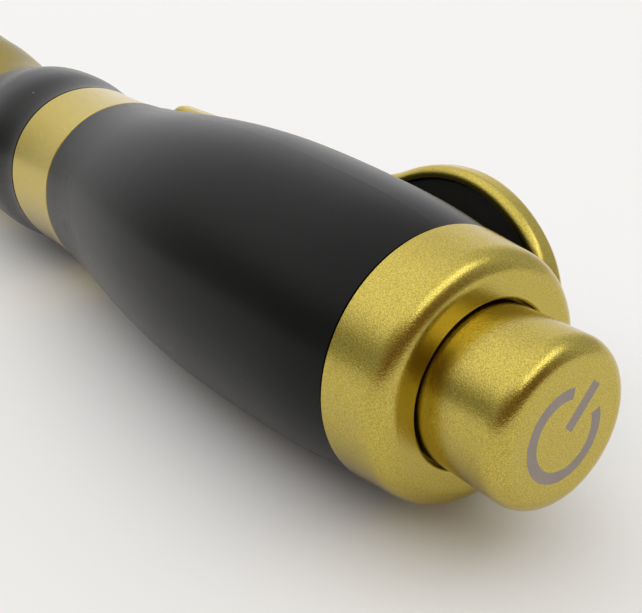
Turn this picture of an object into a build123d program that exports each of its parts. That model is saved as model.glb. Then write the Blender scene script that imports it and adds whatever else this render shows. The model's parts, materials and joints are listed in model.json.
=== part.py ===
from build123d import *
import os
from math import acos, asin, atan2, cos, degrees, hypot, isclose, pi, radians, sin, tan

# Needle-free hyaluron pen, lying on its side as it does on a table. Millimetres, +Z up.
# The pen's axis is the X axis. The origin is the centre of the ampoule socket's mouth, and +X
# leaves the pen through that mouth, so the button lies at the far negative end. The cocking
# lever lies along the -Y side and rests on the table with its lower edge.

os.makedirs("parts", exist_ok=True)

# Clearances that several pieces share
running_gap = 0.08
seat_gap = 0.05
seam_gap = 0.15
overrun = 1.0
seam_chamfer = 0.18
tolerance = 0.005

# Spine tube, on which the barrel, the joint ring and the front housing sit
tube_bore_radius = 8.4
tube_wall = 1.0
tube_radius = tube_bore_radius + tube_wall
shell_bore_radius = tube_radius + seat_gap

# Outside of the pen, from the nose back to the button
mouth_lip = 0.6
nose_cap_length = 13.7
nose_cap_rear_radius = 12.5
nose_cap_middle_radius = 11.1
nose_cap_front_radius = 8.5
nose_cap_edge = 0.6
scale_length = 5.5
scale_radius = 12.8
dose_ring_length = 39.65
dose_skirt_wall = 0.92
dose_waist_radius = tube_radius + running_gap + dose_skirt_wall
dose_edge = 0.8
hinge_from_front = 14.35
hinge_from_ring = 9.2
housing_rear_wall = 1.7
housing_front_wall = 1.05
housing_swell_wall = 2.65
housing_rear_radius = shell_bore_radius + housing_rear_wall
housing_front_radius = shell_bore_radius + housing_front_wall
housing_swell_radius = shell_bore_radius + housing_swell_wall
joint_ring_length = 12.2
joint_ring_waist_depth = 0.15
barrel_length = 57.7
belly_radius = 13.5
barrel_rear_wall = 1.9
barrel_front_wall = 1.7
barrel_rear_radius = shell_bore_radius + barrel_rear_wall
barrel_front_radius = shell_bore_radius + barrel_front_wall
collar_length = 6.2
collar_front_radius = 11.5
collar_rear_radius = 10.8
collar_edge = 2.0
collar_hole_radius = 7.22
collar_hole_edge = 0.25
button_radius = 7.02
button_stand_out = 8.13
button_edge = 1.7

# Outlines from the rear end: share of the piece's length, share of its largest radius
barrel_outline_shares = ((0.1, 0.916), (0.2, 0.954), (0.48, 1.0), (0.8, 0.9), (0.9, 0.853))
housing_outline_shares = ((0.17, 0.95), (0.28, 0.982), (0.45, 1.0), (0.6, 0.988), (0.75, 0.942))
dose_outline_shares = ((0.15, 0.774), (0.38, 0.844), (0.51, 0.896), (0.62, 0.933), (0.83, 0.98), (0.93, 1.0))
nose_middle_share = 0.45

# Stations along the axis
nose_cap_front = -mouth_lip
nose_cap_rear = nose_cap_front - nose_cap_length
scale_front = nose_cap_rear - seam_gap
scale_rear = scale_front - scale_length
dose_front = scale_rear - seam_gap
dose_rear = dose_front - dose_ring_length
housing_front = dose_rear - seam_gap
hinge_x = housing_front - hinge_from_front
housing_rear = hinge_x - hinge_from_ring
ring_front = housing_rear - seam_gap
ring_rear = ring_front - joint_ring_length
barrel_front = ring_rear - seam_gap
barrel_rear = barrel_front - barrel_length
collar_front = barrel_rear - seam_gap
collar_rear = collar_front - collar_length
button_face = collar_rear - button_stand_out

# Rear bulkhead and the spigot behind it
spigot_length = 6.5
spigot_wall = 1.2
bulkhead_length = 8.0
bulkhead_rear = barrel_rear + spigot_length + seat_gap
bulkhead_front = bulkhead_rear + bulkhead_length
tube_rear = bulkhead_front + seat_gap

# Front core, pressed into the spine tube; it carries the nose and the dose ring
core_bore_radius = 6.2
core_radius = 7.6
core_plug_length = 3.0
core_entry_radius = 6.8
core_entry_gap = 0.35
core_end_setback = 1.8
core_front = -core_end_setback

# Button and trigger
button_travel = 3.5
collar_wall = 2.4
button_flange_length = 2.0
button_skin = 2.2
button_bore_radius = 5.6
flange_radius = tube_radius - spigot_wall - running_gap
flange_rear = collar_rear + collar_wall + seat_gap
flange_front = flange_rear + button_flange_length
trigger_low = 5.2
trigger_high = 7.4
trigger_half_width = 1.5
trigger_tip_height = 0.2
trigger_pocket_depth = 1.2

# Standby sign on the button's face
sign_radius = 3.85
sign_stroke = 0.96
sign_bar_start = 0.5
sign_bar_length = 4.05
sign_gap_half_angle = 31.0
sign_turn = 39.6
sign_depth = 0.25

# Sear
sear_slope_share = 0.4
sear_thickness = 2.0
sear_half_width = 4.0
sear_bottom = 5.0
sear_slot_gap = 0.06
sear_spring_room = 3.6
sear_travel = sear_slope_share * button_travel
sear_rear = bulkhead_rear + (bulkhead_length - sear_thickness) / 2
sear_front = sear_rear + sear_thickness

# Hammer and its spring
main_spring_length = 27.0
main_spring_radius = 6.7
main_spring_wire = 1.5
main_spring_turns = 7
hammer_length = 12.0
hammer_radius = tube_bore_radius - running_gap
tail_radius = 2.6
tail_length = 21.4
tail_groove_radius = 1.8
tail_groove_setback = 2.1
tail_groove_gap = 0.4
tail_tip_length = 1.6
striker_radius = 4.2
striker_lead = 0.8
striker_gap = 0.9
striker_flat = 3.2
buffer_thickness = 2.0
stop_thickness = 2.0
stop_bore_gap = 0.3
hammer_rear = tube_rear + main_spring_length
hammer_front = hammer_rear + hammer_length
buffer_rear = hammer_front + seat_gap
buffer_front = buffer_rear + buffer_thickness
stop_rear = buffer_front + seat_gap
stop_front = stop_rear + stop_thickness
tail_tip = hammer_rear - tail_length

# Cocking lever
lever_inner = 13.9
lever_thickness = 2.7
lever_outer = lever_inner + lever_thickness
lever_edge = 0.9
paddle_half_width = 11.9
paddle_length_share = 1.16
paddle_nose_share = 0.88
neck_length = 16.0
arm_half_width = 8.1
arm_corner = 3.0
lever_rim = 1.2
panel_depth = 0.85
panel_thickness = 0.55
panel_edge = 0.2
hinge_height = 15.2
arm_to_hinge = 4.5
lever_swing_angle = 90.0
free_end = collar_front
arm_front = hinge_x - arm_to_hinge

# The pen rests on its belly, its dose ring and the lever's rounded lower edge
edge_out = lever_outer - lever_edge
edge_down = paddle_half_width - lever_edge
corner_reach = hypot(edge_out, edge_down)
lever_roll = asin((belly_radius - lever_edge) / corner_reach) - atan2(edge_down, edge_out)

# Toothed sector and rack
tooth_module = 0.8
gear_teeth = 20
pitch_radius = gear_teeth * tooth_module / 2
pressure_angle = radians(20)
addendum_share = 1.0
dedendum_share = 1.25
backlash = 0.16
sector_first_tooth = -1
sector_last_tooth = 5
rack_first_tooth = -1
rack_last_tooth = 5
sector_half_thickness = 2.0
hub_radius = 3.4
tongue_length = 15.8
tongue_gap = 0.3
pin_radius = 1.5
pin_gap = 0.04
press_gap = 0.025
ear_radius = 3.2
ear_gap = 0.3
ear_thickness = 2.5
ear_foot_share = 0.54
ear_root = 0.4
pin_head_radius = 2.3
pin_head_length = 1.0
pin_end_length = 1.5
clip_radius = 2.5
clip_thickness = 0.6
clip_groove_radius = 1.2
clip_mouth_half_width = 1.0
rivet_radius = 0.6
rivet_reach = 5.0
rivet_places = (8.0, 13.0)
rack_half_width = 1.9
rack_land = 3.0
rack_screw_radius = 0.7
rack_screw_head_radius = 1.2
rack_screw_head = 0.8
rack_screw_depth = 3.0
rack_screw_slot = 0.3
sector_slot_gap = 0.35
last_tooth_front = hinge_x + (rack_last_tooth + 1) * pi * tooth_module
rack_front = last_tooth_front + rack_land
striker_front = rack_front + striker_lead
core_plug_rear = last_tooth_front + core_entry_gap
tube_front = core_plug_rear + core_plug_length

# Dose mechanism
feed_travel = 5.0
dose_turn_angle = 300.0
thread_radius = 8.8
thread_run_out = 1.7
bearing_length = 5.0
relief_radius = 10.2
nut_radius = thread_radius - running_gap
nut_length = 6.0
cross_pin_radius = 1.0
core_slot_gap = 0.12
rod_radius = 2.2
rod_head_radius = 4.5
rod_head_length = 5.4
rod_front_setback = 18.0
guide_length = 5.0
guide_setback = 23.0
bush_length = 5.0
bush_setback = 1.4

# O-rings
seal_wire_radius = 0.55
nose_seal_setback = 8.0

# Click stop of the dose ring
ball_radius = 1.0
ball_gap = 0.05
raceway_depth = 0.35
detent_spring_radius = 0.7
detent_spring_wire = 0.3
detent_spring_turns = 2
detent_screw_radius = 1.5
detent_screw_length = 1.0
detent_socket_radius = 0.7
detent_screw_seat_share = 0.925

# Scale and socket
scale_marks = 11
long_mark_every = 5
mark_half_width = 0.18
mark_depth = 0.3
mark_length = 1.9
long_mark_length = 3.0
index_half_width = 0.3
index_length = 2.4
socket_radius = 5.0
socket_length = 12.0
socket_flange_radius = 7.3

# Springs at the button and the sear
button_spring_radius = 4.3
button_spring_wire = 0.8
button_spring_turns = 7
sear_spring_radius = 1.25
sear_spring_wire = 0.45
sear_spring_turns = 3

# Directions: outward through the lever, and across the lever's width, upward
outward = Vector(0, -cos(lever_roll), -sin(lever_roll))
across = Vector(0, -sin(lever_roll), cos(lever_roll))
side = Plane(origin=(0, 0, 0), x_dir=(1, 0, 0), z_dir=outward)
hinge_plane = Plane(origin=outward * hinge_height + Vector(hinge_x, 0, 0), x_dir=(1, 0, 0), z_dir=across)


stand_up = (Align.CENTER, Align.CENTER, Align.MIN)


def cross_section(station):
    """A plane across the pen: its x runs across the lever, upward, and its y outward."""
    return Plane(origin=(station, 0, 0), x_dir=across, z_dir=(1, 0, 0))


def round_bar(start, end, radius, mode=Mode.ADD):
    """A round bar on the pen's axis, from one station to another."""
    with Locations(Plane.YZ.offset(start)):
        Cylinder(radius, end - start, align=stand_up, mode=mode)


def round_hole(start, end, radius):
    """A round hole on the pen's axis that runs through a piece and out of both its ends."""
    round_bar(start - overrun, end + overrun, radius, mode=Mode.SUBTRACT)


def cross_bar(station, height, start, end, radius, mode=Mode.ADD):
    """A round bar across the lever's width, at a height outward from the pen's axis."""
    foot = side.from_local_coords((station, start, height))
    with Locations(Plane(origin=foot, z_dir=across)):
        Cylinder(radius, end - start, align=stand_up, mode=mode)


def block(along, width, height, mode=Mode.ADD):
    """A block in the lever's directions, each given as its low and high end."""
    centre = [(low + high) / 2 for low, high in (along, width, height)]
    sizes = [high - low for low, high in (along, width, height)]
    middle = side.from_local_coords(tuple(centre))
    with Locations(Plane(origin=middle, x_dir=side.x_dir, z_dir=side.z_dir)):
        Box(*sizes, mode=mode)


def rim_edges(piece, station, radius):
    """The round edge of a turned piece at one station and radius."""
    circles = piece.edges().filter_by(GeomType.CIRCLE)
    return circles.filter_by(
        lambda edge: isclose(edge.radius, radius, abs_tol=tolerance)
        and isclose(edge.arc_center.X, station, abs_tol=tolerance)
    )


def on_plane(base, x, y, z):
    return base.origin + base.x_dir * x + base.y_dir * y + base.z_dir * z


def coil(name, base, length, mean_radius, wire, turns):
    """One unbroken wire of even pitch along the plane's normal, each quarter turn a biarc."""
    pitch = (length - wire) / turns
    climb = pitch / (2 * pi)

    def point(angle):
        return on_plane(
            base, mean_radius * cos(angle), mean_radius * sin(angle), wire / 2 + climb * angle
        )

    def heading(angle):
        ahead = on_plane(base, -mean_radius * sin(angle), mean_radius * cos(angle), climb)
        return (ahead - base.origin).normalized()

    quarters = round(4 * turns)
    angles = [quarter * pi / 2 for quarter in range(quarters + 1)]
    with BuildLine() as path:
        for low, high in zip(angles, angles[1:]):
            start, end = point(low), point(high)
            leave, arrive = heading(low), heading(high)
            chord = end - start
            both = leave + arrive
            spread = 2 * (1 - leave.dot(arrive))
            reach = (-chord.dot(both) + (chord.dot(both) ** 2 + spread * chord.dot(chord)) ** 0.5) / spread
            joint = (start + end + (leave - arrive) * reach) * 0.5
            turn = (joint - (start + leave * reach)).normalized()
            TangentArc(start, joint, tangent=leave)
            TangentArc(joint, end, tangent=turn)
    with BuildSketch(Plane(origin=point(0), z_dir=heading(0))) as section:
        Circle(wire / 2)
    sweep(sections=section.sketch, path=path.line)
    steps = 16 * quarters
    points = [point(angles[-1] * step / steps) for step in range(steps + 1)]
    half_turn = round(steps / turns / 2)
    least = min(
        (points[later] - points[step]).length
        for step in range(steps + 1)
        for later in range(step + half_turn, steps + 1)
    )
    print(f"{name}: least gap of the wire to itself {least - wire:.2f} mm")


# Push button, a hollow gold cap with a flange that the collar holds back
face_plane = Plane(
    origin=(button_face, 0, 0),
    x_dir=(0, -cos(radians(sign_turn)), -sin(radians(sign_turn))),
    z_dir=(-1, 0, 0),
)
sign_drop = (sign_bar_start + sign_bar_length - sign_radius) / 2
sign_plane = Plane(
    origin=face_plane.from_local_coords((0, -sign_drop, 0)),
    x_dir=face_plane.x_dir,
    z_dir=face_plane.z_dir,
)


def standby_sign():
    """An open ring with a bar in its gap."""
    with BuildSketch(sign_plane) as sign:
        Circle(sign_radius)
        Circle(sign_radius - sign_stroke, mode=Mode.SUBTRACT)
        gap_width = 2 * sign_radius * tan(radians(sign_gap_half_angle))
        Polygon(
            (0, 0),
            (gap_width, 2 * sign_radius),
            (-gap_width, 2 * sign_radius),
            align=None,
            mode=Mode.SUBTRACT,
        )
        with Locations((0, sign_bar_start + sign_bar_length / 2)):
            Rectangle(sign_stroke, sign_bar_length)
    return sign.sketch


trigger_span = (-trigger_half_width, trigger_half_width)
trigger_rear = flange_front - trigger_pocket_depth
with BuildPart() as push_button:
    round_bar(button_face, flange_front, button_radius)
    round_bar(flange_rear, flange_front, flange_radius)
    fillet(rim_edges(push_button, button_face, button_radius), button_edge)
    round_bar(button_face + button_skin, flange_front + overrun, button_bore_radius, mode=Mode.SUBTRACT)
    extrude(standby_sign(), amount=-sign_depth, mode=Mode.SUBTRACT)
    block(
        (trigger_rear, flange_front + overrun),
        (trigger_low - seat_gap, trigger_high + seat_gap),
        (-trigger_half_width - seat_gap, trigger_half_width + seat_gap),
        mode=Mode.SUBTRACT,
    )

with BuildPart() as button_symbol:
    extrude(standby_sign(), amount=-sign_depth)

# Trigger bar, whose sloped tip pushes the sear down as the button goes in
trigger_tip = sear_front + seat_gap
tip_low = trigger_high - trigger_tip_height
ramp_length = (tip_low - trigger_low) / sear_slope_share
sear_clear = seat_gap * hypot(1, sear_slope_share)
sear_top_low = tip_low - sear_slope_share * (sear_thickness + seat_gap) - sear_clear
with BuildPart() as trigger_bar:
    with BuildSketch(side):
        with BuildLine():
            Polyline(
                (trigger_rear, trigger_low),
                (trigger_tip - ramp_length, trigger_low),
                (trigger_tip, tip_low),
                (trigger_tip, trigger_high),
                (trigger_rear, trigger_high),
                close=True,
            )
        make_face()
    extrude(amount=trigger_half_width, both=True)

with BuildPart() as button_spring:
    coil(
        "button spring",
        Plane.YZ.offset(button_face + button_skin + seat_gap),
        bulkhead_rear - button_face - button_skin - 2 * seat_gap,
        button_spring_radius,
        button_spring_wire,
        button_spring_turns,
    )

# End collar with the spigot that holds it in the barrel
with BuildPart() as end_collar:
    with BuildSketch(Plane.XZ):
        with BuildLine():
            Polyline(
                (collar_rear, collar_hole_radius),
                (collar_rear, collar_rear_radius),
                (collar_front, collar_front_radius),
                (collar_front, tube_radius),
                (barrel_rear + spigot_length, tube_radius),
                (barrel_rear + spigot_length, tube_radius - spigot_wall),
                (collar_rear + collar_wall, tube_radius - spigot_wall),
                (collar_rear + collar_wall, collar_hole_radius),
                close=True,
            )
        make_face()
    revolve(axis=Axis.X)
    fillet(rim_edges(end_collar, collar_rear, collar_rear_radius), collar_edge)
    fillet(rim_edges(end_collar, collar_rear, collar_hole_radius), collar_hole_edge)
    chamfer(rim_edges(end_collar, collar_front, collar_front_radius), seam_chamfer)

# Rear bulkhead with the sear's slot, the trigger bar's slot and the tail's bore
sear_slot_bottom = -sear_bottom - sear_spring_room
sear_middle = (sear_rear + sear_front) / 2
with BuildPart() as rear_bulkhead:
    round_bar(bulkhead_rear, bulkhead_front, tube_radius)
    round_hole(bulkhead_rear, bulkhead_front, tail_radius + running_gap)
    block(
        (sear_rear - sear_slot_gap, sear_front + sear_slot_gap),
        (sear_slot_bottom, tube_radius + overrun),
        (-sear_half_width - sear_slot_gap, sear_half_width + sear_slot_gap),
        mode=Mode.SUBTRACT,
    )
    cross_bar(
        sear_middle, 0, sear_slot_bottom, -sear_bottom, sear_spring_radius + running_gap, mode=Mode.SUBTRACT
    )
    block(
        (bulkhead_rear - overrun, bulkhead_front + overrun),
        (trigger_low - running_gap, trigger_high + running_gap),
        (-trigger_half_width - running_gap, trigger_half_width + running_gap),
        mode=Mode.SUBTRACT,
    )

# Sear plate: its top follows the trigger bar's slope, its long hole takes the hammer's tail
with BuildPart() as sear_plate:
    with BuildSketch(side):
        with BuildLine():
            Polyline(
                (sear_rear, -sear_bottom),
                (sear_front, -sear_bottom),
                (sear_front, sear_top_low + sear_slope_share * sear_thickness),
                (sear_rear, sear_top_low),
                close=True,
            )
        make_face()
    extrude(amount=sear_half_width, both=True)
    with BuildSketch(cross_section(sear_rear - overrun)):
        with Locations((sear_travel / 2, 0)):
            SlotCenterToCenter(sear_travel, 2 * (tail_radius + running_gap))
    extrude(amount=sear_thickness + 2 * overrun, mode=Mode.SUBTRACT)

sear_spring_foot = side.from_local_coords((sear_middle, sear_slot_bottom + seat_gap, 0))
with BuildPart() as sear_spring:
    coil(
        "sear spring",
        Plane(origin=sear_spring_foot, z_dir=across),
        sear_spring_room - 2 * seat_gap,
        sear_spring_radius - sear_spring_wire / 2,
        sear_spring_wire,
        sear_spring_turns,
    )

# Barrel, the long bulged grip
with BuildPart() as barrel_shell:
    with BuildSketch(Plane.XZ):
        with BuildLine():
            belly = [
                (barrel_rear + along * barrel_length, out * belly_radius)
                for along, out in barrel_outline_shares
            ]
            Spline((barrel_rear, barrel_rear_radius), *belly, (barrel_front, barrel_front_radius))
            Polyline(
                (barrel_front, barrel_front_radius),
                (barrel_front, shell_bore_radius),
                (barrel_rear, shell_bore_radius),
                (barrel_rear, barrel_rear_radius),
            )
        make_face()
    revolve(axis=Axis.X)

# Slot through which the sector reaches the rack, used by the spine tube and the front housing
tip_radius = pitch_radius + addendum_share * tooth_module
slot_half_length = (tip_radius**2 - (hinge_height - housing_swell_radius) ** 2) ** 0.5 + sector_slot_gap
slot_half_width = sector_half_thickness + sector_slot_gap


def cut_sector_slot():
    block(
        (hinge_x - slot_half_length, hinge_x + slot_half_length),
        (-slot_half_width, slot_half_width),
        (tube_bore_radius / 2, lever_outer),
        mode=Mode.SUBTRACT,
    )


with BuildPart() as inner_tube:
    round_bar(tube_rear, tube_front, tube_radius)
    round_hole(tube_rear, tube_front, tube_bore_radius)
    cut_sector_slot()

with BuildPart() as main_spring:
    coil(
        "main spring",
        Plane.YZ.offset(tube_rear + seat_gap),
        main_spring_length - 2 * seat_gap,
        main_spring_radius,
        main_spring_wire,
        main_spring_turns,
    )

# Rack, its teeth towards the lever, its gap centred under the hinge while the lever is closed
tooth_pitch = pi * tooth_module
addendum = addendum_share * tooth_module
dedendum = dedendum_share * tooth_module
half_tooth = tooth_pitch / 4 - backlash / 2
rack_root = pitch_radius + dedendum
rack_back = hinge_height - striker_flat
rack_start = (rack_first_tooth + 0.5) * tooth_pitch - tooth_pitch / 2 - rack_land
rack_end = rack_front - hinge_x
rack_screw_places = (rack_start + rack_land / 2, rack_end - rack_land / 2)
head_top = hinge_height - rack_root


def over_rack(place, height):
    """A plane facing the lever, at a place along the rack and a height from the pen's axis."""
    return Plane(origin=side.from_local_coords((hinge_x + place, 0, height)), z_dir=outward)


with BuildPart() as cocking_rack:
    with BuildSketch(hinge_plane):
        with BuildLine():
            outline = [(rack_start, rack_back), (rack_start, rack_root)]
            for tooth in range(rack_first_tooth, rack_last_tooth + 1):
                middle = (tooth + 0.5) * tooth_pitch
                foot = half_tooth + dedendum * tan(pressure_angle)
                tip = half_tooth - addendum * tan(pressure_angle)
                outline.append((middle - foot, rack_root))
                outline.append((middle - tip, pitch_radius - addendum))
                outline.append((middle + tip, pitch_radius - addendum))
                outline.append((middle + foot, rack_root))
            outline.append((rack_end, rack_root))
            outline.append((rack_end, rack_back))
            Polyline(*outline, close=True)
        make_face()
    extrude(amount=rack_half_width, both=True)
    for place in rack_screw_places:
        with Locations(over_rack(place, head_top)):
            CounterBoreHole(
                rack_screw_radius + running_gap,
                rack_screw_head_radius + running_gap,
                rack_screw_head + seat_gap,
                depth=head_top - striker_flat + overrun,
            )

# Hammer: head, tail with its groove, and striker rod with a flat for the rack
with BuildPart() as hammer:
    round_bar(hammer_rear, hammer_front, hammer_radius)
    round_bar(hammer_front, striker_front, striker_radius)
    round_bar(tail_tip, hammer_rear, tail_radius)
    tail_edge = rim_edges(hammer, tail_tip, tail_radius)
    chamfer(tail_edge, tail_tip_length, tail_radius / 2)
    groove_start = tail_tip + tail_groove_setback
    groove_end = groove_start + sear_thickness + tail_groove_gap
    with BuildSketch(Plane.YZ.offset(groove_start)):
        Circle(tail_radius + overrun)
        Circle(tail_groove_radius, mode=Mode.SUBTRACT)
    extrude(amount=groove_end - groove_start, mode=Mode.SUBTRACT)
    block(
        (hinge_x + rack_start - seat_gap, striker_front + overrun),
        (-striker_radius - overrun, striker_radius + overrun),
        (striker_flat, hammer_radius),
        mode=Mode.SUBTRACT,
    )
    for place in rack_screw_places:
        screw_foot = striker_flat - rack_screw_depth - seat_gap
        with Locations(over_rack(place, screw_foot)):
            Cylinder(
                rack_screw_radius + seat_gap, rack_screw_depth + overrun, align=stand_up, mode=Mode.SUBTRACT
            )

with BuildPart() as rack_screws:
    for place in rack_screw_places:
        head_base = head_top - rack_screw_head
        screw_foot = striker_flat - rack_screw_depth
        with Locations(over_rack(place, screw_foot)):
            Cylinder(rack_screw_radius, head_base - screw_foot, align=stand_up)
        with Locations(over_rack(place, head_base)):
            Cylinder(rack_screw_head_radius, rack_screw_head, align=stand_up)
        with Locations(over_rack(place, head_top)):
            Box(
                2 * rack_screw_head_radius + overrun,
                rack_screw_slot,
                rack_screw_head,
                mode=Mode.SUBTRACT,
            )

with BuildPart() as hammer_buffer:
    round_bar(buffer_rear, buffer_front, hammer_radius)
    round_hole(buffer_rear, buffer_front, striker_radius + stop_bore_gap)

with BuildPart() as stop_ring:
    round_bar(stop_rear, stop_front, tube_bore_radius - seat_gap)
    round_hole(stop_rear, stop_front, striker_radius + stop_bore_gap)

# Gold joint ring between barrel and front housing, drawn in a little at its middle
with BuildPart() as joint_ring:
    with BuildSketch(Plane.XZ):
        with BuildLine():
            ring_middle = (ring_rear + ring_front) / 2
            ring_end_radius = (barrel_front_radius + housing_rear_radius) / 2
            ThreePointArc(
                (ring_rear, barrel_front_radius),
                (ring_middle, ring_end_radius - joint_ring_waist_depth),
                (ring_front, housing_rear_radius),
            )
            Polyline(
                (ring_front, housing_rear_radius),
                (ring_front, shell_bore_radius),
                (ring_rear, shell_bore_radius),
                (ring_rear, barrel_front_radius),
            )
        make_face()
    revolve(axis=Axis.X)
    chamfer(rim_edges(joint_ring, ring_rear, barrel_front_radius), seam_chamfer)
    chamfer(rim_edges(joint_ring, ring_front, housing_rear_radius), seam_chamfer)

# Front housing with its two hinge ears
ear_inner = sector_half_thickness + ear_gap
ear_outer = ear_inner + ear_thickness
ear_sink = hinge_height - shell_bore_radius - ear_root
ear_foot_half_length = ear_foot_share * hinge_from_ring
with BuildPart() as front_housing:
    with BuildSketch(Plane.XZ):
        with BuildLine():
            swell = [
                (housing_rear + along * (housing_front - housing_rear), out * housing_swell_radius)
                for along, out in housing_outline_shares
            ]
            Spline((housing_rear, housing_rear_radius), *swell, (housing_front, housing_front_radius))
            Polyline(
                (housing_front, housing_front_radius),
                (housing_front, shell_bore_radius),
                (housing_rear, shell_bore_radius),
                (housing_rear, housing_rear_radius),
            )
        make_face()
    revolve(axis=Axis.X)
    for low in (-ear_outer, ear_inner):
        with BuildSketch(hinge_plane.offset(low)):
            Circle(ear_radius)
            with BuildLine():
                Polyline(
                    (-ear_radius, 0),
                    (ear_radius, 0),
                    (ear_foot_half_length, ear_sink),
                    (-ear_foot_half_length, ear_sink),
                    close=True,
                )
            make_face()
        extrude(amount=ear_thickness)
    cross_bar(
        hinge_x,
        hinge_height,
        -ear_outer - overrun,
        ear_outer + overrun,
        pin_radius + press_gap,
        mode=Mode.SUBTRACT,
    )
    cut_sector_slot()


# Cocking lever: gold frame, two black panels. The free end is an oval of two radii on each side.
paddle_length = paddle_length_share * paddle_half_width
paddle_end = free_end + paddle_length
nose_radius = paddle_nose_share * paddle_half_width
flank_reach = paddle_length**2 + paddle_half_width**2 - 2 * paddle_length * nose_radius
flank_radius = flank_reach / 2 / (paddle_half_width - nose_radius)
blend_share = nose_radius / (flank_radius - nose_radius)
blend_x = free_end + nose_radius - blend_share * (paddle_length - nose_radius)
blend_y = blend_share * (flank_radius - paddle_half_width)


def flat_outline(shrink):
    """The lever seen square to its face, all round smaller by the shrink: a rounded paddle, an arm.

    Every joint of the outline moves in along its own normal, so the arcs stay tangent.
    """
    nose_lean = atan2(blend_y, blend_x - free_end - nose_radius)
    neck_turn = 2 * atan2(paddle_half_width - arm_half_width, neck_length)
    neck_middle = paddle_end + neck_length / 2
    neck_half_width = (paddle_half_width + arm_half_width) / 2
    joints = [
        (free_end + shrink, 0),
        (blend_x - shrink * cos(nose_lean), blend_y - shrink * sin(nose_lean)),
        (paddle_end, paddle_half_width - shrink),
        (neck_middle - shrink * sin(neck_turn), neck_half_width - shrink * cos(neck_turn)),
        (paddle_end + neck_length, arm_half_width - shrink),
        (arm_front - arm_corner, arm_half_width - shrink),
        (arm_front - shrink, arm_half_width - arm_corner),
    ]
    with BuildSketch() as outline:
        with BuildLine():
            for sign in (1, -1):
                tip, blend, flank, neck, arm, corner, front = [(x, sign * y) for x, y in joints]
                TangentArc(tip, blend, tangent=(0, sign))
                TangentArc(flank, blend, tangent=(-1, 0))
                TangentArc(flank, neck, tangent=(1, 0))
                TangentArc(neck, arm, tangent=(cos(neck_turn), -sign * sin(neck_turn)))
                Line(arm, corner)
                TangentArc(corner, front, tangent=(1, 0))
            Line(front, (front[0], -front[1]))
        make_face()
    return outline.sketch_local


def panel_face(height, shrink):
    """The lever's outline inside its rim, ended square ahead of the solid hinge end."""
    with BuildSketch(side.offset(height)) as panel:
        add(flat_outline(shrink))
        with Locations((hinge_x - tongue_length - shrink, 0)):
            Rectangle(
                2 * tongue_length,
                2 * paddle_half_width,
                align=(Align.MIN, Align.CENTER),
                mode=Mode.SUBTRACT,
            )
    return panel.sketch


outward_axis = Axis((0, 0, 0), outward)
with BuildPart() as lever_frame:
    with BuildSketch(side.offset(lever_inner)):
        add(flat_outline(0))
    extrude(amount=lever_thickness)
    outer_edges = lever_frame.faces().sort_by(outward_axis)[-1].edges()
    inner_edges = lever_frame.faces().sort_by(outward_axis)[0].edges()
    fillet(outer_edges + inner_edges, lever_edge)
    extrude(panel_face(lever_inner, lever_rim), amount=panel_depth, mode=Mode.SUBTRACT)
    extrude(panel_face(lever_outer, lever_rim), amount=-panel_depth, mode=Mode.SUBTRACT)
    block(
        (hinge_x - tongue_length - seat_gap, arm_front + overrun),
        (-sector_half_thickness - seat_gap, sector_half_thickness + seat_gap),
        (lever_inner - overrun, lever_outer + overrun),
        mode=Mode.SUBTRACT,
    )
    for place in rivet_places:
        cross_bar(
            hinge_x - place,
            (lever_inner + lever_outer) / 2,
            -arm_half_width - overrun,
            rivet_reach + seat_gap,
            rivet_radius + seat_gap,
            mode=Mode.SUBTRACT,
        )

with BuildPart() as lever_inner_panel:
    extrude(
        panel_face(lever_inner + panel_depth - seat_gap, lever_rim + seat_gap), amount=-panel_thickness
    )
    chamfer(lever_inner_panel.faces().sort_by(outward_axis)[0].edges(), panel_edge)

with BuildPart() as lever_outer_panel:
    extrude(
        panel_face(lever_outer - panel_depth + seat_gap, lever_rim + seat_gap), amount=panel_thickness
    )
    chamfer(lever_outer_panel.faces().sort_by(outward_axis)[-1].edges(), panel_edge)

# Toothed sector with its hub and the tongue that sits in the lever's slot
base_radius = pitch_radius * cos(pressure_angle)
root_radius = pitch_radius - dedendum
tooth_angle = 2 * pi / gear_teeth
flank_steps = 4


def involute(angle):
    return tan(angle) - angle


def half_width_angle(radius):
    """Half of a tooth's angle at a radius, with its share of the backlash taken off."""
    at_pitch = tooth_angle / 4 - backlash / 2 / pitch_radius
    contact = acos(min(base_radius / radius, 1))
    return at_pitch + involute(pressure_angle) - involute(contact)


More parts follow.
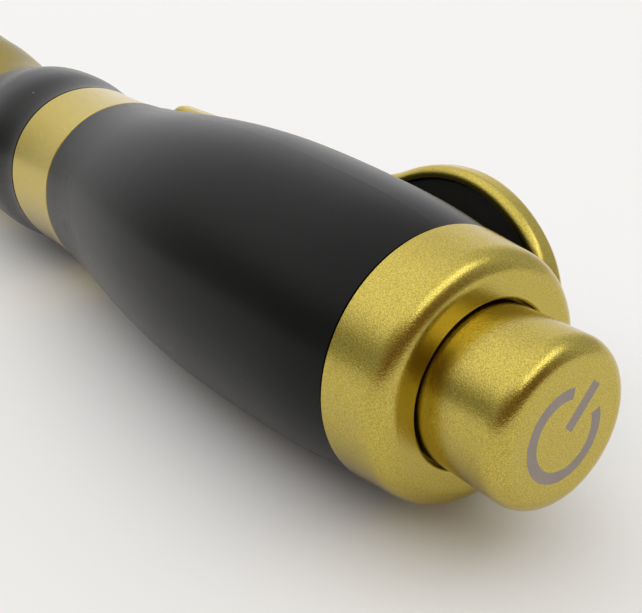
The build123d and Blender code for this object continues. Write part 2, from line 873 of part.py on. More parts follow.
flank_step = (tip_radius - base_radius) / flank_steps
flank_radii = [base_radius + flank_step * step for step in range(flank_steps + 1)]
with BuildPart() as lever_sector:
    with BuildSketch(hinge_plane):
        Circle(root_radius)
        blank_start = pi / 2 - (sector_last_tooth + 0.5) * tooth_angle
        blank_end = pi / 2 - (sector_first_tooth - 0.5) * tooth_angle
        spokes = 6
        fan = [(0, 0)]
        for spoke in range(spokes + 1):
            angle = blank_start + (blank_end - blank_start) * spoke / spokes
            fan.append((2 * pitch_radius * cos(angle), 2 * pitch_radius * sin(angle)))
        Polygon(*fan, align=None, mode=Mode.INTERSECT)
        for tooth in range(sector_first_tooth, sector_last_tooth + 1):
            middle = pi / 2 - tooth * tooth_angle
            flank = [(radius, half_width_angle(radius)) for radius in flank_radii]
            inner = root_radius - dedendum / 2
            flank.insert(0, (inner, flank[0][1]))
            left = [(radius * cos(middle + half), radius * sin(middle + half)) for radius, half in flank]
            right = [(radius * cos(middle - half), radius * sin(middle - half)) for radius, half in flank]
            Polygon(*right, *reversed(left), align=None)
        Circle(hub_radius)
        tongue_bottom = hinge_height - lever_outer + tongue_gap
        tongue_top = hinge_height - lever_inner - tongue_gap
        with BuildLine():
            Polyline(
                (-tongue_length, tongue_bottom),
                (0, tongue_bottom),
                (0, tongue_top),
                (-tongue_length, tongue_top),
                close=True,
            )
        make_face()
        Circle(pin_radius + pin_gap, mode=Mode.SUBTRACT)
    extrude(amount=sector_half_thickness, both=True)
    for place in rivet_places:
        cross_bar(
            hinge_x - place,
            (lever_inner + lever_outer) / 2,
            -sector_half_thickness - overrun,
            sector_half_thickness + overrun,
            rivet_radius + seat_gap,
            mode=Mode.SUBTRACT,
        )

with BuildPart() as sector_rivets:
    for place in rivet_places:
        cross_bar(
            hinge_x - place,
            (lever_inner + lever_outer) / 2,
            -arm_half_width,
            rivet_reach,
            rivet_radius,
        )

with BuildPart() as lever_pin:
    clip_start = ear_outer + seat_gap
    pin_start = -ear_outer - seat_gap
    pin_end = ear_outer + pin_end_length
    cross_bar(hinge_x, hinge_height, pin_start, pin_end, pin_radius)
    cross_bar(hinge_x, hinge_height, pin_start - pin_head_length, pin_start, pin_head_radius)
    with BuildSketch(hinge_plane.offset(clip_start)):
        Circle(pin_radius + overrun)
        Circle(clip_groove_radius, mode=Mode.SUBTRACT)
    extrude(amount=clip_thickness + seat_gap, mode=Mode.SUBTRACT)

with BuildPart() as pin_clip:
    with BuildSketch(hinge_plane.offset(clip_start + press_gap)):
        Circle(clip_radius)
        Circle(clip_groove_radius + press_gap, mode=Mode.SUBTRACT)
        with Locations((-clip_radius, 0)):
            Rectangle(2 * clip_radius, 2 * clip_mouth_half_width, mode=Mode.SUBTRACT)
    extrude(amount=clip_thickness)

# Front core: its plug closes the spine tube, its two slots guide the cross pin
rod_head_rear = striker_front + striker_gap + feed_travel
rod_head_front = rod_head_rear + rod_head_length
nut_rear = rod_head_front - seat_gap
nut_front = nut_rear + nut_length
pin_station = (nut_rear + nut_front) / 2
thread_end = nut_front + thread_run_out
bearing_end = thread_end + bearing_length
detent_x = thread_end + bearing_length / 2
ball_centre = core_radius - raceway_depth + ball_radius + ball_gap
nose_seal_x = core_front - nose_seal_setback
with BuildPart() as front_core:
    round_bar(core_plug_rear, core_front, core_radius)
    round_bar(core_plug_rear, tube_front, tube_bore_radius - seat_gap)
    round_hole(core_plug_rear, core_front, core_bore_radius)
    round_bar(
        core_plug_rear - overrun,
        rack_front + core_entry_gap,
        core_entry_radius,
        mode=Mode.SUBTRACT,
    )
    pin_room = cross_pin_radius + core_slot_gap
    block(
        (pin_station - feed_travel - pin_room, pin_station + pin_room),
        (-core_radius - overrun, core_radius + overrun),
        (-pin_room, pin_room),
        mode=Mode.SUBTRACT,
    )
    with BuildSketch(Plane.XZ):
        with Locations((detent_x, ball_centre)):
            Circle(ball_radius + ball_gap)
        with Locations((nose_seal_x, core_radius)):
            Rectangle(2 * seal_wire_radius + 2 * seat_gap, 2 * seal_wire_radius)
    revolve(axis=Axis.X, mode=Mode.SUBTRACT)

# Plunger rod with its head, its guide and seal
rod_front = -rod_front_setback
with BuildPart() as plunger_rod:
    round_bar(rod_head_rear, rod_head_front, rod_head_radius)
    round_bar(rod_head_front, nut_front, core_bore_radius - running_gap)
    round_bar(nut_front, rod_front, rod_radius)
    fillet(rim_edges(plunger_rod, rod_front, rod_radius), rod_radius / 4)
    cross_bar(pin_station, 0, -nut_radius, nut_radius, cross_pin_radius + press_gap, mode=Mode.SUBTRACT)

with BuildPart() as feed_nut:
    round_bar(nut_rear, nut_front, nut_radius)
    round_hole(nut_rear, nut_front, core_radius + running_gap)
    cross_bar(
        pin_station,
        0,
        -nut_radius - overrun,
        nut_radius + overrun,
        cross_pin_radius + press_gap,
        mode=Mode.SUBTRACT,
    )

with BuildPart() as cross_pin:
    cross_bar(pin_station, 0, -nut_radius + running_gap, nut_radius - running_gap, cross_pin_radius)

guide_front = -guide_setback
guide_rear = guide_front - guide_length
guide_middle = (guide_front + guide_rear) / 2
with BuildPart() as rod_guide:
    round_bar(guide_rear, guide_front, core_bore_radius - seat_gap)
    round_hole(guide_rear, guide_front, rod_radius + running_gap)
    with BuildSketch(Plane.XZ):
        with Locations((guide_middle, rod_radius + seal_wire_radius)):
            Rectangle(2 * seal_wire_radius + 2 * seat_gap, 2 * seal_wire_radius + 4 * seat_gap)
    revolve(axis=Axis.X, mode=Mode.SUBTRACT)

with BuildPart() as rod_seal:
    with BuildSketch(Plane.XZ):
        with Locations((guide_middle, rod_radius + seat_gap + seal_wire_radius)):
            Circle(seal_wire_radius)
    revolve(axis=Axis.X)

with BuildPart() as nose_seal:
    with BuildSketch(Plane.XZ):
        with Locations((nose_seal_x, core_radius)):
            Circle(seal_wire_radius)
    revolve(axis=Axis.X)

# Dose ring: a flared bell with the feed thread's bore, a bearing and a click stop
pocket_radius = ball_radius + ball_gap
screw_outer = detent_screw_seat_share * belly_radius
with BuildPart() as dose_ring:
    with BuildSketch(Plane.XZ):
        with BuildLine():
            bell = [
                (dose_rear + along * dose_ring_length, out * belly_radius)
                for along, out in dose_outline_shares
            ]
            Spline((dose_rear, dose_waist_radius), *bell, tangents=((1, 0), (1, 0)))
            Polyline(
                bell[-1],
                (dose_front, belly_radius),
                (dose_front, relief_radius),
                (bearing_end, relief_radius),
                (bearing_end, core_radius + running_gap),
                (thread_end, core_radius + running_gap),
                (thread_end, thread_radius),
                (tube_front + running_gap, thread_radius),
                (tube_front + running_gap, tube_radius + running_gap),
                (dose_rear, tube_radius + running_gap),
                (dose_rear, dose_waist_radius),
            )
        make_face()
    revolve(axis=Axis.X)
    fillet(rim_edges(dose_ring, dose_front, belly_radius), dose_edge)
    with Locations(Plane(origin=(detent_x, 0, 0), z_dir=(0, 0, 1))):
        Cylinder(pocket_radius, belly_radius, align=stand_up, mode=Mode.SUBTRACT)
    with Locations(Plane(origin=(detent_x, 0, screw_outer - detent_screw_length), z_dir=(0, 0, 1))):
        Cylinder(
            detent_screw_radius + seat_gap,
            belly_radius,
            align=stand_up,
            mode=Mode.SUBTRACT,
        )
    with Locations((dose_front - index_length / 2, 0, belly_radius)):
        Box(index_length, 2 * index_half_width, 2 * mark_depth, mode=Mode.SUBTRACT)

with BuildPart() as dose_bush:
    bush_front = dose_front - bush_setback
    round_bar(bush_front - bush_length, bush_front, relief_radius - seat_gap)
    round_hole(bush_front - bush_length, bush_front, core_radius + running_gap)

with BuildPart() as detent_ball:
    with Locations((detent_x, 0, ball_centre)):
        Sphere(ball_radius)

detent_spring_low = ball_centre + ball_radius + seat_gap
detent_spring_high = screw_outer - detent_screw_length - seat_gap
with BuildPart() as detent_spring:
    coil(
        "detent spring",
        Plane(origin=(detent_x, 0, detent_spring_low), z_dir=(0, 0, 1)),
        detent_spring_high - detent_spring_low,
        detent_spring_radius,
        detent_spring_wire,
        detent_spring_turns,
    )

with BuildPart() as detent_screw:
    with Locations((detent_x, 0, screw_outer - detent_screw_length)):
        Cylinder(detent_screw_radius, detent_screw_length, align=stand_up)
    with BuildSketch(Plane(origin=(detent_x, 0, screw_outer), z_dir=(0, 0, 1))):
        RegularPolygon(detent_socket_radius, 6)
    extrude(amount=-detent_screw_length / 2, mode=Mode.SUBTRACT)

# Scale sleeve: tick marks over the dose ring's range, each fifth one longer
with BuildPart() as scale_sleeve:
    round_bar(scale_rear, scale_front, scale_radius)
    round_hole(scale_rear, scale_front, core_radius + seat_gap)
    for mark in range(scale_marks):
        turn = dose_turn_angle * mark / (scale_marks - 1)
        length = long_mark_length if mark % long_mark_every == 0 else mark_length
        heading_y = cos(radians(turn))
        heading_z = sin(radians(turn))
        with Locations(Plane(origin=(scale_rear, 0, 0), x_dir=(0, heading_y, heading_z), z_dir=(1, 0, 0))):
            with Locations((0, scale_radius, length / 2)):
                Box(2 * mark_half_width, 2 * mark_depth, length, mode=Mode.SUBTRACT)

# Nose cap, tapered, with a bore for the core
with BuildPart() as nose_cap:
    with BuildSketch(Plane.XZ):
        with BuildLine():
            nose_middle = (nose_cap_rear + nose_middle_share * nose_cap_length, nose_cap_middle_radius)
            ThreePointArc(
                (nose_cap_rear, nose_cap_rear_radius), nose_middle, (nose_cap_front, nose_cap_front_radius)
            )
            Polyline(
                (nose_cap_front, nose_cap_front_radius),
                (nose_cap_front, core_radius + 2 * seat_gap),
                (nose_cap_rear, core_radius + 2 * seat_gap),
                (nose_cap_rear, nose_cap_rear_radius),
            )
        make_face()
    revolve(axis=Axis.X)
    fillet(rim_edges(nose_cap, nose_cap_front, nose_cap_front_radius), nose_cap_edge)
    with BuildSketch(Plane.XZ):
        with Locations((nose_seal_x, core_radius)):
            Circle(seal_wire_radius + seat_gap)
    revolve(axis=Axis.X, mode=Mode.SUBTRACT)

# Socket that takes the ampoule, its flange in the mouth
with BuildPart() as socket_insert:
    round_bar(-socket_length, 0, core_bore_radius - seat_gap)
    round_bar(core_front + seat_gap, 0, socket_flange_radius)
    round_bar(-socket_length - overrun, overrun, socket_radius, mode=Mode.SUBTRACT)

pieces = {
    "push_button": push_button,
    "button_symbol": button_symbol,
    "trigger_bar": trigger_bar,
    "button_spring": button_spring,
    "end_collar": end_collar,
    "rear_bulkhead": rear_bulkhead,
    "sear_plate": sear_plate,
    "sear_spring": sear_spring,
    "barrel_shell": barrel_shell,
    "inner_tube": inner_tube,
    "main_spring": main_spring,
    "hammer": hammer,
    "cocking_rack": cocking_rack,
    "rack_screws": rack_screws,
    "hammer_buffer": hammer_buffer,
    "stop_ring": stop_ring,
    "joint_ring": joint_ring,
    "front_housing": front_housing,
    "lever_frame": lever_frame,
    "lever_inner_panel": lever_inner_panel,
    "lever_outer_panel": lever_outer_panel,
    "lever_sector": lever_sector,
    "sector_rivets": sector_rivets,
    "lever_pin": lever_pin,
    "pin_clip": pin_clip,
    "front_core": front_core,
    "plunger_rod": plunger_rod,
    "feed_nut": feed_nut,
    "cross_pin": cross_pin,
    "rod_guide": rod_guide,
    "rod_seal": rod_seal,
    "nose_seal": nose_seal,
    "dose_ring": dose_ring,
    "dose_bush": dose_bush,
    "detent_ball": detent_ball,
    "detent_spring": detent_spring,
    "detent_screw": detent_screw,
    "scale_sleeve": scale_sleeve,
    "nose_cap": nose_cap,
    "socket_insert": socket_insert,
}
for name, piece in pieces.items():
    piece.part.label = name
    export_step(piece.part, f"parts/{name}.step")

print(f"lever roll {degrees(lever_roll):.3f} degrees, hinge at x {hinge_x:.3f}")
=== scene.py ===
# %% [markdown]
# # A hyaluron pen lying on a white table
#
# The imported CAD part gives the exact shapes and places. This lesson dresses it: bead-blasted gold
# anodising, a soft black coat, turned steel inside, and the light of a small product photograph.
# All lengths are in metres, so a millimetre has a name of its own.

import json
import math

import bpy
from mathutils import Matrix, Vector


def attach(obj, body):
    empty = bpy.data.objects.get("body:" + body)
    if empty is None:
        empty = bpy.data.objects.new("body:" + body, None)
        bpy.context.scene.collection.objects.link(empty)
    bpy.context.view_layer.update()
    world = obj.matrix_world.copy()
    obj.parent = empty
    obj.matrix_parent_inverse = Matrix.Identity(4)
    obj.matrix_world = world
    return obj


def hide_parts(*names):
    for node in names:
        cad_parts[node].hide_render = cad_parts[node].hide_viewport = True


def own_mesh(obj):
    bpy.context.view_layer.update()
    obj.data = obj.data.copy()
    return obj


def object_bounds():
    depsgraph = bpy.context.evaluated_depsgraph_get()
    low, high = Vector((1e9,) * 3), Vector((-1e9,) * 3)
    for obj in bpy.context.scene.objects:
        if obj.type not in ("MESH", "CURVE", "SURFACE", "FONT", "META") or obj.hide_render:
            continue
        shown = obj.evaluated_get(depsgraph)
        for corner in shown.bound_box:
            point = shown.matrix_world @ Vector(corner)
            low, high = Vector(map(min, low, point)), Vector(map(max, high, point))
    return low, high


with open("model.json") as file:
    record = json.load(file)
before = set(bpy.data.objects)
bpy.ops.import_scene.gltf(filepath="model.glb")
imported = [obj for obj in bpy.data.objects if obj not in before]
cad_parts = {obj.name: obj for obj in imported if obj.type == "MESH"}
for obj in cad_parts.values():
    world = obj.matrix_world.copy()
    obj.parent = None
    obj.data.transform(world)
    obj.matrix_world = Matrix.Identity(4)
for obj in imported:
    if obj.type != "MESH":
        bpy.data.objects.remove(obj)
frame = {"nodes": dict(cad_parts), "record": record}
cad_low, cad_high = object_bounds()
nodes = frame["nodes"]
MM = 0.001
print("CAD box", tuple(cad_low), tuple(cad_high))

# %% [markdown]
# ## Shared effects
#
# A bead-blasted surface is a field of tiny dimples that catch the light one by one, a turned one
# carries fine rings, and every handled black coat has a few specks of dust. An image could show
# them, but noise computed in space has no seams and fits any shape. Each effect is one node group
# with its own inputs, so a material only says how strong and how fine it wants it.


# %% Helpers for node groups
def new_group(name, inputs, outputs):
    """A shader node group with named float inputs and named outputs."""
    group = bpy.data.node_groups.new(name, "ShaderNodeTree")
    for socket, value in inputs.items():
        made = group.interface.new_socket(socket, in_out="INPUT", socket_type="NodeSocketFloat")
        made.default_value = value
    for socket, kind in outputs.items():
        group.interface.new_socket(socket, in_out="OUTPUT", socket_type=kind)
    return group, group.nodes.new("NodeGroupInput"), group.nodes.new("NodeGroupOutput")


def node(tree, kind, **values):
    """A node whose keyword values set its properties, or its inputs by their name."""
    made = tree.nodes.new(kind)
    for key, value in values.items():
        if hasattr(made, key):
            setattr(made, key, value)
        else:
            made.inputs[key.replace("_", " ")].default_value = value
    return made


def join(tree, source, target):
    tree.links.new(source, target)


def ranged(tree, value, low, high, from_low=0.3, from_high=0.7):
    """A value spread from one range into another. Noise mostly lies between 0.3 and 0.7."""
    made = node(tree, "ShaderNodeMapRange", clamp=True)
    made.inputs["From Min"].default_value = from_low
    made.inputs["From Max"].default_value = from_high
    made.inputs["To Min"].default_value = low
    made.inputs["To Max"].default_value = high
    join(tree, value, made.inputs["Value"])
    return made.outputs["Result"]


# %% [markdown]
# ### The grain of a blasted surface
#
# Glass beads shot at the metal leave dimples of about a tenth of a millimetre. Modelled one by
# one they would take millions of faces. A fine noise gives their height and their sparkle, and
# with that sparkle mask the gold and the lever's panels paint shade into the dimples and a glint
# onto the crests. A coarse noise gives the slow clouds of shine that no blasting avoids.

# %% Bead-blasted grain
DIMPLES_PER_METRE = 9000.0


def make_blasted_grain():
    """Fine dimples, their sparkle as a mask (also used for painted shade and glints), and slow
    clouds.
    """
    group, given, out = new_group(
        "blasted_grain",
        {"Scale": DIMPLES_PER_METRE, "Cloud": 120.0},
        {"Height": "NodeSocketFloat", "Sparkle": "NodeSocketFloat", "Cloud": "NodeSocketFloat"},
    )
    place = node(group, "ShaderNodeTexCoord")
    fine = node(group, "ShaderNodeTexNoise", Detail=1.0, Roughness=0.6)
    cloud = node(group, "ShaderNodeTexNoise", Detail=3.0, Roughness=0.55)
    for texture, size in ((fine, "Scale"), (cloud, "Cloud")):
        join(group, place.outputs["Object"], texture.inputs["Vector"])
        join(group, given.outputs[size], texture.inputs["Scale"])
    sparkle = ranged(group, fine.outputs["Fac"], low=0.0, high=1.0, from_low=0.35, from_high=0.65)
    join(group, fine.outputs["Fac"], out.inputs["Height"])
    join(group, sparkle, out.inputs["Sparkle"])
    join(group, cloud.outputs["Fac"], out.inputs["Cloud"])
    return group


blasted_grain = make_blasted_grain()
print("group", blasted_grain.name, "with", len(blasted_grain.nodes), "nodes")

# %% [markdown]
# ### The marks of the lathe
#
# A turned piece keeps fine rings round its axis, where the tool passed. Noise in one dimension,
# read along the pen's axis, is the same all round, so it makes rings. A little noise in space
# breaks them up.

# %% Turning marks: fine rings round the pen's axis
RINGS_PER_METRE = 9000.0
BROKEN_SHARE = 0.3


def make_turning_marks():
    """Rings along X as a height, and the same rings broken up as a streak."""
    group, given, out = new_group(
        "turning_marks",
        {"Pitch": RINGS_PER_METRE},
        {"Height": "NodeSocketFloat", "Streak": "NodeSocketFloat"},
    )
    place = node(group, "ShaderNodeTexCoord")
    split = node(group, "ShaderNodeSeparateXYZ")
    along = node(group, "ShaderNodeMath", operation="MULTIPLY")
    rings = node(group, "ShaderNodeTexNoise", noise_dimensions="1D", Scale=1.0, Detail=3.0)
    blur = node(group, "ShaderNodeTexNoise", Scale=400.0, Detail=2.0)
    mix = node(group, "ShaderNodeMath", operation="MULTIPLY_ADD")
    mix.inputs[1].default_value = BROKEN_SHARE
    join(group, place.outputs["Object"], split.inputs["Vector"])
    join(group, place.outputs["Object"], blur.inputs["Vector"])
    join(group, split.outputs["X"], along.inputs[0])
    join(group, given.outputs["Pitch"], along.inputs[1])
    join(group, along.outputs["Value"], rings.inputs["W"])
    join(group, blur.outputs["Fac"], mix.inputs[0])
    join(group, rings.outputs["Fac"], mix.inputs[2])
    join(group, rings.outputs["Fac"], out.inputs["Height"])
    join(group, mix.outputs["Value"], out.inputs["Streak"])
    return group


turning_marks = make_turning_marks()
print("group", turning_marks.name, "with", len(turning_marks.nodes), "nodes")

# %% [markdown]
# ### Dust
#
# The black grip in the picture has a few pale specks. A cell pattern gives each small cell a
# random number, and only the rare cells with a high one get a dot in their middle. So the specks
# stay few and never line up.


# %% Specks of dust
def make_dust_specks():
    """A mask of small round specks in a few random cells."""
    group, given, out = new_group(
        "dust_specks",
        {"Scale": 420.0, "Size": 0.06, "Rarity": 0.93},
        {"Mask": "NodeSocketFloat"},
    )
    place = node(group, "ShaderNodeTexCoord")
    cells = node(group, "ShaderNodeTexVoronoi", feature="F1")
    near = node(group, "ShaderNodeMath", operation="LESS_THAN")
    split = node(group, "ShaderNodeSeparateColor")
    rare = node(group, "ShaderNodeMath", operation="GREATER_THAN")
    both = node(group, "ShaderNodeMath", operation="MULTIPLY")
    join(group, place.outputs["Object"], cells.inputs["Vector"])
    join(group, given.outputs["Scale"], cells.inputs["Scale"])
    join(group, cells.outputs["Distance"], near.inputs[0])
    join(group, given.outputs["Size"], near.inputs[1])
    join(group, cells.outputs["Color"], split.inputs["Color"])
    join(group, split.outputs["Red"], rare.inputs[0])
    join(group, given.outputs["Rarity"], rare.inputs[1])
    join(group, near.outputs["Value"], both.inputs[0])
    join(group, rare.outputs["Value"], both.inputs[1])
    join(group, both.outputs["Value"], out.inputs["Mask"])
    return group


dust_specks = make_dust_specks()
print("group", dust_specks.name, "with", len(dust_specks.nodes), "nodes")

# %% [markdown]
# ## Finishes
#
# Each finish is one Principled shader with what the groups give. A value that is the same all
# over stands on the shader's own socket, and only what changes over the surface comes through
# nodes. That keeps the materials readable, and it is what the export can carry over.


# %% Helpers for finishes
def finish_of(name, metallic=0.0, roughness=0.5, **sockets):
    """A material with one Principled shader. Plain values go on the shader's own sockets."""
    material = bpy.data.materials.new(name)
    material.use_nodes = True
    shader = material.node_tree.nodes["Principled BSDF"]
    shader.inputs["Metallic"].default_value = metallic
    shader.inputs["Roughness"].default_value = roughness
    for key, value in sockets.items():
        shader.inputs[key.replace("_", " ")].default_value = value
    return material, material.node_tree, shader


def put_group(tree, group, **values):
    """One of the shared effects, placed in a material with its own values."""
    made = tree.nodes.new("ShaderNodeGroup")
    made.node_tree = group
    for key, value in values.items():
        made.inputs[key].default_value = value
    return made


def mixed_colour(tree, factor, first, second):
    """A colour between two, by a factor. Each is three values or another node's colour."""
    mix = node(tree, "ShaderNodeMix", data_type="RGBA")
    join(tree, factor, mix.inputs["Factor"])
    colour_inputs = [entry for entry in mix.inputs if entry.type == "RGBA"]
    for entry, value in zip(colour_inputs, (first, second)):
        if isinstance(value, tuple):
            entry.default_value = (*value, 1)
        else:
            join(tree, value, entry)
    return [entry for entry in mix.outputs if entry.type == "RGBA"][0]


def bumped(tree, shader, height, strength, depth):
    """The shader's normal, tilted by a height that is worth a depth in metres."""
    made = node(tree, "ShaderNodeBump")
    made.inputs["Strength"].default_value = strength
    made.inputs["Distance"].default_value = depth
    join(tree, height, made.inputs["Height"])
    join(tree, made.outputs["Normal"], shader.inputs["Normal"])


# %% [markdown]
# ### Gold
#
# The gold is anodised aluminium: metal with a fine sparkle under a clear hard layer. One lobe
# alone looks either flat or wet. So the metal gets a soft lobe and the clear layer a sharper one,
# and the sparkle comes from dimples that differ a little in tilt, with painted shade in each
# dimple and a painted glint on each crest. The flared ring at the front is a darker copy of the
# same gold, with less of the clear layer and a darker colour at a flat angle: painted shade, for
# the darker room that it mirrors.

# %% Gold anodised aluminium, bead-blasted
# Painted shade in the dimples and a painted glint on the crests of the blasted gold.
GOLD_PAINTED_SHADE_IN_DIMPLE = (0.38, 0.295, 0.032)
GOLD_PAINTED_GLINT_ON_CREST = (0.60, 0.475, 0.072)


def blasted_gold(name, clear_layer, flat_angle_colour):
    """Blasted gold under a clear layer, with the colour that it mirrors at a flat angle."""
    material, tree, shader = finish_of(
        name,
        metallic=1.0,
        Coat_Weight=clear_layer,
        Coat_Roughness=0.16,
        Specular_Tint=flat_angle_colour,
    )
    grain = put_group(tree, blasted_grain, Scale=DIMPLES_PER_METRE, Cloud=250.0)
    # The colour is painted shade in the dimples and a painted glint on the crests, taken from the
    # grain's height.
    base = mixed_colour(tree, grain.outputs["Sparkle"], GOLD_PAINTED_SHADE_IN_DIMPLE, GOLD_PAINTED_GLINT_ON_CREST)
    shine = ranged(tree, grain.outputs["Cloud"], low=0.20, high=0.25)
    join(tree, base, shader.inputs["Base Color"])
    join(tree, shine, shader.inputs["Roughness"])
    bumped(tree, shader, grain.outputs["Height"], strength=0.8, depth=0.018 * MM)
    print("finish", material.name)
    return material


gold = blasted_gold("gold_anodised", 0.8, (0.86, 0.74, 0.42, 1))
# A darker copy of the same gold for the flared dose ring: painted shade.
gold_with_painted_shade = blasted_gold("gold_anodised_painted_shade", 0.3, (0.36, 0.32, 0.14, 1))

# %% [markdown]
# ### Black coat
#
# The grip feels like soft rubber paint. It isn't grey by itself: its own colour is nearly black,
# and the grey sheen along its edges is the pale room, seen at a flat angle. So the colour stays
# very dark, the mirror is weak, and the edges light up by themselves.

# %% Soft black coat
BLACK_COAT = (0.0045, 0.0048, 0.0047)
PALE_DUST = (0.25, 0.24, 0.22)

black_coat, tree, shader = finish_of("black_soft_coat", Specular_IOR_Level=0.14)
grain = put_group(tree, blasted_grain, Scale=DIMPLES_PER_METRE, Cloud=60.0)
dust = put_group(tree, dust_specks)
base = mixed_colour(tree, dust.outputs["Mask"], BLACK_COAT, PALE_DUST)
shine = ranged(tree, grain.outputs["Cloud"], low=0.24, high=0.29)
join(tree, base, shader.inputs["Base Color"])
join(tree, shine, shader.inputs["Roughness"])
bumped(tree, shader, grain.outputs["Height"], strength=0.10, depth=0.02 * MM)
print("finish", black_coat.name)

# %% [markdown]
# ### The lever's panels and the sign
#
# The panels are moulded black plastic, a little lighter and rougher than the grip, with painted
# shade in the dimples of their grain and a painted glint on its crests. The sign on the button is
# thin grey ink, printed flat, so it has no clear layer and its grain is only faint.

# %% Black panel of the lever
black_panel, tree, shader = finish_of("black_panel")
grain = put_group(tree, blasted_grain, Scale=7000.0, Cloud=80.0)
# Painted shade in the dimples and a painted glint on the crests, from the grain's height.
base = mixed_colour(tree, grain.outputs["Sparkle"], (0.012, 0.012, 0.010), (0.022, 0.022, 0.019))
shine = ranged(tree, grain.outputs["Cloud"], low=0.34, high=0.44)
join(tree, base, shader.inputs["Base Color"])
join(tree, shine, shader.inputs["Roughness"])
bumped(tree, shader, grain.outputs["Height"], strength=0.15, depth=0.03 * MM)
print("finish", black_panel.name)

# %% Grey ink of the standby sign
grey_sign, tree, shader = finish_of("grey_sign")
grain = put_group(tree, blasted_grain, Scale=6500.0, Cloud=300.0)
base = mixed_colour(tree, grain.outputs["Cloud"], (0.27, 0.23, 0.20), (0.35, 0.30, 0.265))
shine = ranged(tree, grain.outputs["Sparkle"], low=0.5, high=0.62, from_low=0.0, from_high=1.0)
join(tree, base, shader.inputs["Base Color"])
join(tree, shine, shader.inputs["Roughness"])
bumped(tree, shader, grain.outputs["Height"], strength=0.2, depth=0.03 * MM)
print("finish", grey_sign.name)

# %% [markdown]
# ### The metals inside
# The hammer, the tube, the pins and the screws are turned steel, the springs are drawn wire, the
# nut and the bush are bronze, and the core is bare aluminium. They differ only in colour and
# shine, so one function makes them all. Each goes from a dark to a light tone along its rings:
# painted shade in the rings' valleys and a lighter tone on their crests.


# %% Turned metals
def turned_metal(name, dark, light, low, high):
    """A lathe-turned metal: rings round the axis, with painted shade in their valleys."""
    material, tree, shader = finish_of(name, metallic=1.0)
    marks = put_group(tree, turning_marks, Pitch=RINGS_PER_METRE)
    # Painted shade: the colour is darker where the rings' height is low.
    base = mixed_colour(tree, marks.outputs["Streak"], dark, light)
    join(tree, base, shader.inputs["Base Color"])
    join(tree, ranged(tree, marks.outputs["Streak"], low, high), shader.inputs["Roughness"])
    bumped(tree, shader, marks.outputs["Height"], strength=0.15, depth=0.02 * MM)
    print("finish", material.name)
    return material


steel = turned_metal("turned_steel", (0.48, 0.48, 0.49), (0.66, 0.66, 0.67), 0.22, 0.34)
spring_steel = turned_metal("spring_steel", (0.30, 0.30, 0.31), (0.46, 0.46, 0.47), 0.28, 0.40)
bronze = turned_metal("bronze", (0.50, 0.31, 0.14), (0.66, 0.45, 0.22), 0.25, 0.38)
bare_aluminium = turned_metal("bare_aluminium", (0.60, 0.60, 0.62), (0.76, 0.76, 0.78), 0.26, 0.40)

# %% [markdown]
# ### Nylon and rubber
#
# The socket in the nose is pale nylon, and the seals are black rubber. Both are moulded, so they
# have no marks of a tool, only a coarse and shallow grain and a slightly cloudy colour.


# %% Moulded nylon and rubber
def moulded(name, dark, light, low, high, depth):
    """A moulded material: cloudy colour and a fine grain."""
    material, tree, shader = finish_of(name)
    grain = put_group(tree, blasted_grain, Scale=2500.0, Cloud=150.0)
    base = mixed_colour(tree, grain.outputs["Cloud"], dark, light)
    join(tree, base, shader.inputs["Base Color"])
    join(tree, ranged(tree, grain.outputs["Cloud"], low, high), shader.inputs["Roughness"])
    bumped(tree, shader, grain.outputs["Height"], strength=0.25, depth=depth)
    print("finish", material.name)
    return material


RUBBER_DARK = (0.012, 0.012, 0.012)
RUBBER_LIGHT = (0.03, 0.03, 0.03)
nylon = moulded("moulded_nylon", (0.66, 0.64, 0.58), (0.78, 0.76, 0.70), 0.36, 0.48, 0.03 * MM)
seal_rubber = moulded("seal_rubber", RUBBER_DARK, RUBBER_LIGHT, 0.5, 0.68, 0.04 * MM)

# %% [markdown]
# ## Dressing the CAD pieces
#
# The record names a slot for each piece, so one table of finishes is enough, and a new piece
# needs no new line here. Only the flared ring that sets the dose gets the darker copy of the gold,
# as painted shade. The meshes stay as they are.

# %% Finishes on the CAD pieces
finishes = {
    "gold": gold,
    "black_coat": black_coat,
    "black_panel": black_panel,
    "grey_sign": grey_sign,
    "steel": steel,
    "spring_steel": spring_steel,
    "bronze": bronze,
    "bare_aluminium": bare_aluminium,
    "nylon": nylon,
    "seal_rubber": seal_rubber,
}
for row in frame["record"]["subparts"]:
    piece = nodes[row["node"]]
    piece.data.materials.clear()
    piece.data.materials.append(finishes[row["material_slot"]])
# The dose ring gets the darker copy of the gold: painted shade.
nodes["dose_ring"].data.materials[0] = gold_with_painted_shade

# %% [markdown]
# ## The springs' copies
#
# A coil spring gives way when its moving end is pushed, but the CAD solids are rigid. Each of the
# three springs that a joint presses is copied onto the pen's body, and the CAD piece is hidden. A
# CAD mesh is loose triangles, so the copy's doubles are merged first, and then its round wire can
# be shaded smooth.

# %% Copies of the springs
SAME_PLACE = 0.001 * MM
SHARP_EDGE = math.radians(40)


def merged_copy(name):
    """A copy of a CAD piece with its doubles merged and its round faces smooth."""
    made = bpy.data.objects.new(name + "_coil", nodes[name].data.copy())
    bpy.context.scene.collection.objects.link(made)
    bpy.ops.object.select_all(action="DESELECT")
    made.select_set(True)
    bpy.context.view_layer.objects.active = made
    bpy.ops.object.mode_set(mode="EDIT")
    bpy.ops.mesh.select_all(action="SELECT")
    bpy.ops.mesh.remove_doubles(threshold=SAME_PLACE)
    bpy.ops.object.mode_set(mode="OBJECT")
    bpy.ops.object.shade_smooth_by_angle(angle=SHARP_EDGE)
    return made


def shortening_spring(name):
    """A copy of a spring on the pen's body, with the CAD piece hidden."""
    coil = merged_copy(name)
    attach(coil, "pen")
    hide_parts(name)
    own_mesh(coil)


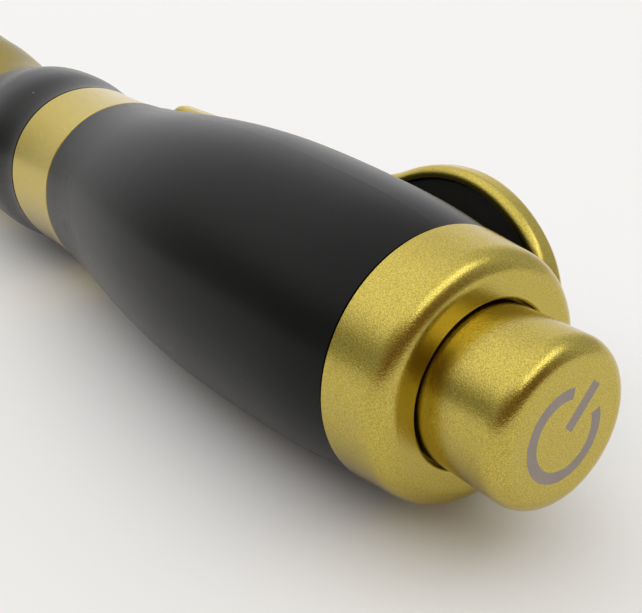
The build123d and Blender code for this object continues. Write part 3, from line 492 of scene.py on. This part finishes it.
for spring, joint in (
    ("main_spring", "hammer_slide"),
    ("button_spring", "button_press"),
    ("sear_spring", "sear_slide"),
):
    shortening_spring(spring)

# %% [markdown]
# ## The table
#
# The pen lies on a plain white table. A small sheet would show its edges in the other views, so
# the table runs 6 metres each way, and its top touches the pen's lowest point. Its surface is
# nearly matt, so the pen's reflection in it stays faint.

# %% Table
TABLE_SIDE = 12.0
TABLE_WHITE = (0.93, 0.93, 0.93, 1)

bpy.ops.object.select_all(action="DESELECT")
bpy.ops.mesh.primitive_plane_add(size=TABLE_SIDE, location=(0, 0, cad_low.z))
table = bpy.context.object
table.name = "table"
white, tree, shader = finish_of("white_table", roughness=0.6, Specular_IOR_Level=0.15)
shader.inputs["Base Color"].default_value = TABLE_WHITE
table.data.materials.append(white)
print(f"table top at {cad_low.z / MM:.2f} mm, right under the pen")

# %% [markdown]
# ## The light
#
# A metal shows nothing but its surroundings, so the room is painted as carefully as the pen. It
# could be a box with lamps in it, but a few soft round zones on the world do the same without
# noise. The ceiling is pale with a brighter patch, the walls are dimmer, warm and brown on the
# button's side, and four small lamps in a row draw the bright band along each rounded gold edge.
# The camera itself sees a plain pale backdrop, so the picture has no horizon.

# %% Helpers for the room
world = bpy.data.worlds.new("room")
bpy.context.scene.world = world
world.use_nodes = True
tree = world.node_tree
background = tree.nodes["Background"]
where = node(tree, "ShaderNodeTexCoord")


def heading(turn, rise):
    """The direction at a turn round the table and a rise above it, both in degrees."""
    flat = math.cos(math.radians(rise))
    across = flat * math.cos(math.radians(turn))
    return (across, flat * math.sin(math.radians(turn)), math.sin(math.radians(rise)))


def zone(under, turn, rise, outside, inside, colour):
    """A soft round zone of colour over what is there.

    The cosine to the zone's middle is outside where the zone begins and inside where it is full.
    """
    product = node(tree, "ShaderNodeVectorMath", operation="DOT_PRODUCT")
    product.inputs[1].default_value = heading(turn, rise)
    join(tree, where.outputs["Generated"], product.inputs[0])
    share = ranged(tree, product.outputs["Value"], 0.0, 1.0, outside, inside)
    return mixed_colour(tree, share, under, colour)


print("the lamps' row starts at", [round(value, 2) for value in heading(157, 50)])

# %% Room light
LAMP = (2.3, 2.28, 2.24)
BACKDROP = (0.90, 0.89, 0.88)

walls = zone((0.58, 0.58, 0.59), 70, 0, -0.3, 0.5, (0.40, 0.38, 0.35))
walls = zone(walls, 46, 2, 0.8, 0.97, (0.33, 0.325, 0.31))
walls = zone(walls, -22, 15, 0.55, 0.9, (1.04, 1.04, 1.04))
walls = zone(walls, 160, 0, 0.25, 0.8, (0.21, 0.13, 0.085))
ceiling = zone((0.80, 0.80, 0.80), 70, 45, 0.2, 0.7, (1.22, 1.21, 1.19))
room = zone(walls, 0, 90, 0.55, 0.78, ceiling)
room = zone(room, 46, 50, 0.84, 0.97, (1.27, 1.26, 1.24))
for turn, rise in ((157, 50), (179, 54), (202, 56), (225, 56)):
    room = zone(room, turn, rise, 0.975, 0.995, LAMP)
seen = node(tree, "ShaderNodeLightPath").outputs["Is Camera Ray"]
join(tree, mixed_colour(tree, seen, room, BACKDROP), background.inputs["Color"])
print("room light with", len(tree.nodes), "nodes")

# %% [markdown]
# ## The camera
#
# The picture was taken from close to the button, a little from above, so the pen shrinks quickly
# towards its nose. Only the right distance gives that: a camera farther off with a longer lens
# would make the pen look flat. The place and the directions come from fitting the round edges.

# %% Camera
EYE = Vector((-0.2044, 0.0476, 0.03535))
RIGHT = Vector((-0.5825, -0.8128, 0.0)).normalized()
AHEAD = Vector((0.7422, -0.5319, -0.4076)).normalized()
UP = RIGHT.cross(AHEAD).normalized()

camera_data = bpy.data.cameras.new("camera")
camera_data.lens = 52.36
camera_data.sensor_width = 36.0
camera_data.clip_start = 5 * MM
camera = bpy.data.objects.new("camera", camera_data)
bpy.context.scene.collection.objects.link(camera)
axes = Matrix((RIGHT, UP, -AHEAD)).transposed().to_4x4()
camera.matrix_world = Matrix.Translation(EYE) @ axes
bpy.context.scene.camera = camera
bpy.context.scene.view_settings.view_transform = "Standard"
print(f"camera {(EYE.z - cad_low.z) / MM:.0f} mm above the table")
